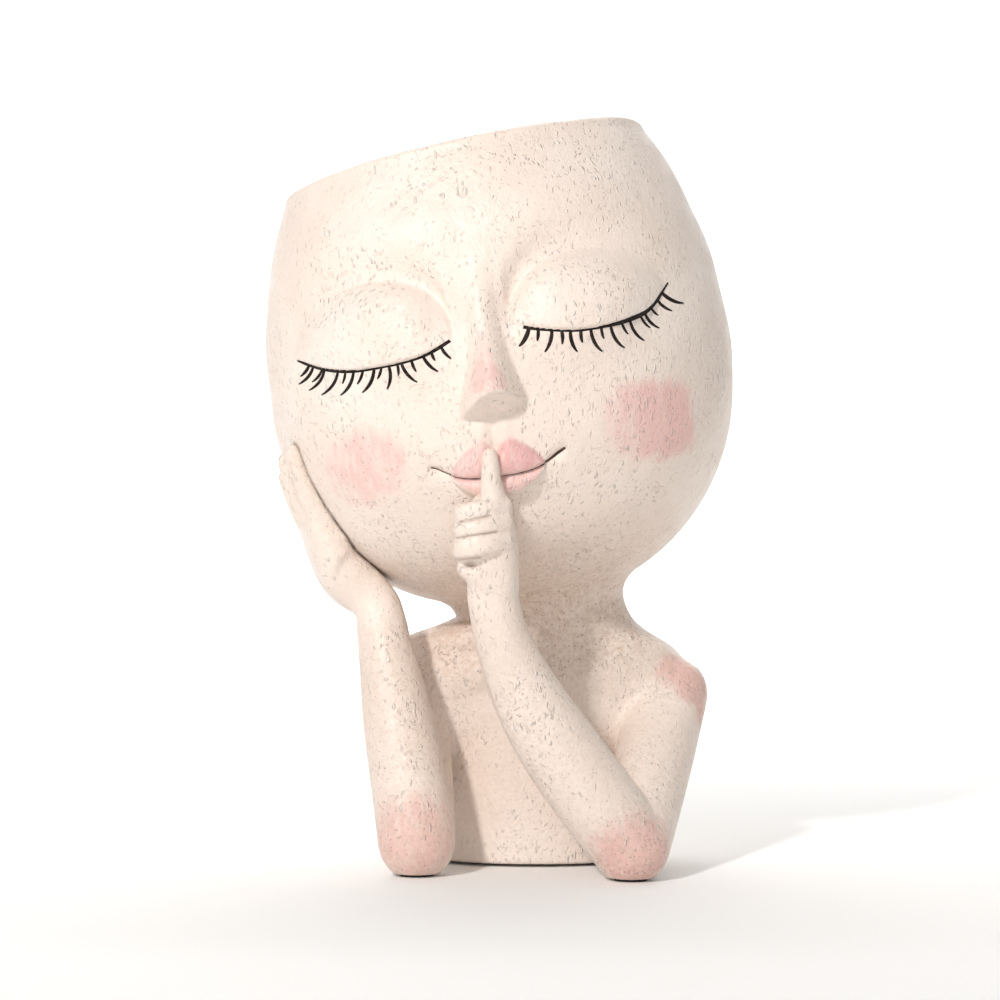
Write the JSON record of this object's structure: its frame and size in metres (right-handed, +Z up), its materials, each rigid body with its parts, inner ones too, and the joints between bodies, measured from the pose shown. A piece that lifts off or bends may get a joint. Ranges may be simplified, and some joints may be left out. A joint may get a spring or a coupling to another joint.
{
  "type": "head planter",
  "caption": "Leaning egg-shaped head pot with a sleeping face on a bust, one palm on the cheek and a finger on the lips, with a drain stopper underneath.",
  "frame": {"origin": "centre of the bounding box at floor level, under the foot pads", "axes": "+Z up, the face looks along -Y, the figure's left arm is at +X"},
  "size_m": [0.1296, 0.1288, 0.205],
  "materials": {
    "resin": "matte",
    "plug": "satin",
    "pads": "matte"
  },
  "bodies": {
    "planter": {"head_pot": "resin", "bust": "resin", "right_forearm": "resin", "left_forearm": "resin", "foot_pads": "pads"},
    "stopper": {"drain_plug": "plug"}
  },
  "joints": [
    {"name": "stopper_pull", "type": "slide", "parent": "planter", "child": "stopper", "axis": [0, 0, -1], "range_m": [0, 0.016]}
  ]
}
